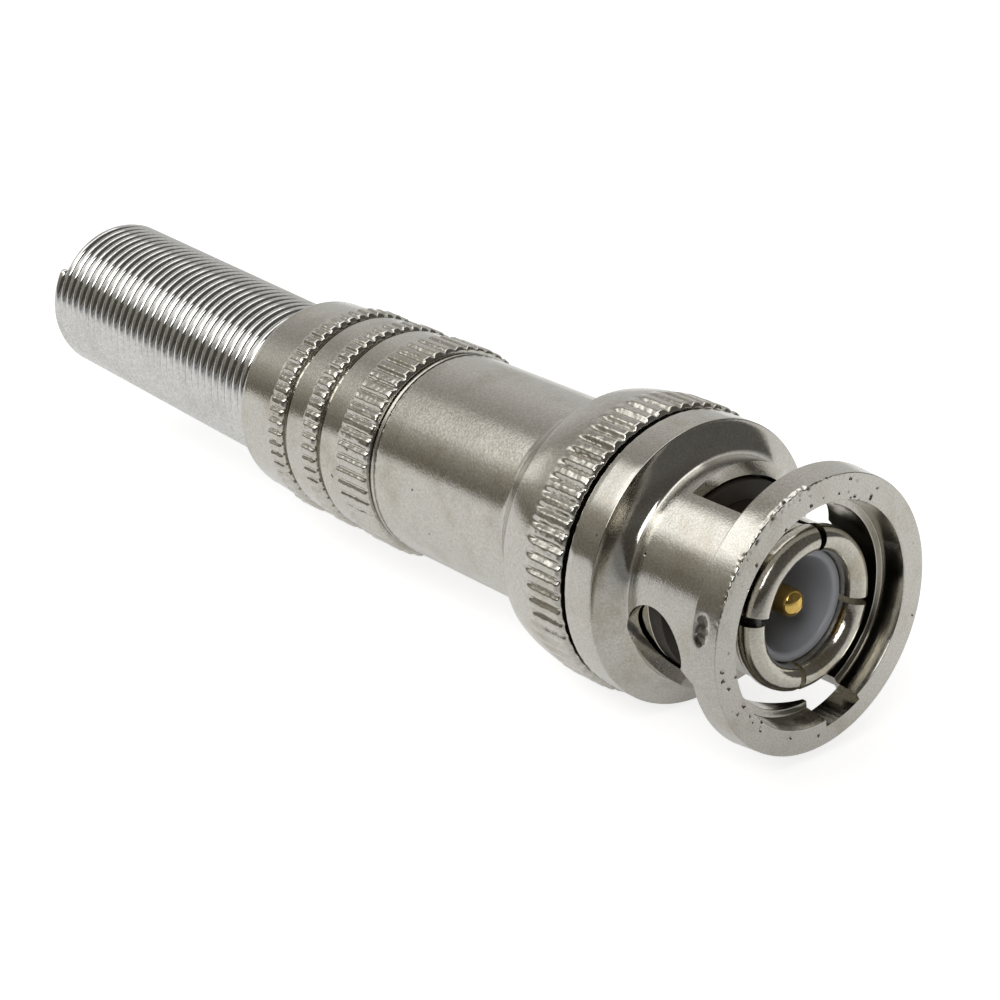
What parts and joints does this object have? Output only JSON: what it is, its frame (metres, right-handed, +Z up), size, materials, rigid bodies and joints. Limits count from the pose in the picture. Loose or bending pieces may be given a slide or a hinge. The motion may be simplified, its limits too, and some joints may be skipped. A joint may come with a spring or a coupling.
{
  "type": "bnc connector",
  "caption": "Bayonet coaxial cable plug with a slotted coupling nut, a ribbed metal barrel, a screwed rear shell and a coil spring that guards the cable.",
  "frame": {"origin": "on the connector's axis, in the plane of the coupling nut's front face", "axes": "+X along the axis out of the mouth, +Z up with the plug lying on its side, +Y to the left when looking along +X"},
  "size_m": [0.0599, 0.0146, 0.0146],
  "materials": {
    "nickel_plate": "bright nickel plate on a zinc casting",
    "satin_nickel": "bright nickel plate on a zinc casting",
    "contact_plate": "nickel plate on turned brass",
    "spring_steel": "nickel plate on spring steel",
    "gold_plate": "polished gold plate",
    "insulator_white": "milky",
    "clear_liner": "satin",
    "gland_rubber": "matte",
    "gasket_rubber": "matte"
  },
  "bodies": {
    "plug": {"plug_body": "contact_plate", "sealing_gasket": "gasket_rubber", "wave_washer": "spring_steel", "centre_contact": "gold_plate", "front_insulator": "insulator_white", "rear_insulator": "insulator_white", "barrel": "satin_nickel", "insulating_sleeve": "clear_liner", "braid_clamp": "contact_plate", "cable_gland": "gland_rubber"},
    "float_washer": {"thrust_washer": "contact_plate"},
    "nut": {"coupling_nut": "nickel_plate"},
    "shell_carrier": {"slip_washer": "contact_plate"},
    "rear_end": {"rear_shell": "satin_nickel", "strain_relief_spring": "spring_steel"}
  },
  "joints": [
    {"name": "coupling_float", "type": "slide", "parent": "plug", "child": "float_washer", "axis": [1, 0, 0], "range_m": [0, 0.00027], "stiffness_N_per_m": 400, "springref_m": -0.0005},
    {"name": "coupling_turn", "type": "hinge", "parent": "float_washer", "child": "nut", "pos_m": [-0.009, 0, 0], "axis": [1, 0, 0], "continuous": true},
    {"name": "shell_travel", "type": "slide", "parent": "plug", "child": "shell_carrier", "axis": [-1, 0, 0], "range_m": [0, 0.004]},
    {"name": "shell_turn", "type": "hinge", "parent": "shell_carrier", "child": "rear_end", "pos_m": [-0.03, 0, 0], "axis": [-1, 0, 0], "range_deg": [0, 1925]}
  ],
  "couplings": [
    {"joint": "shell_turn", "follows": "shell_travel", "rad_per_m": 8377.6}
  ]
}
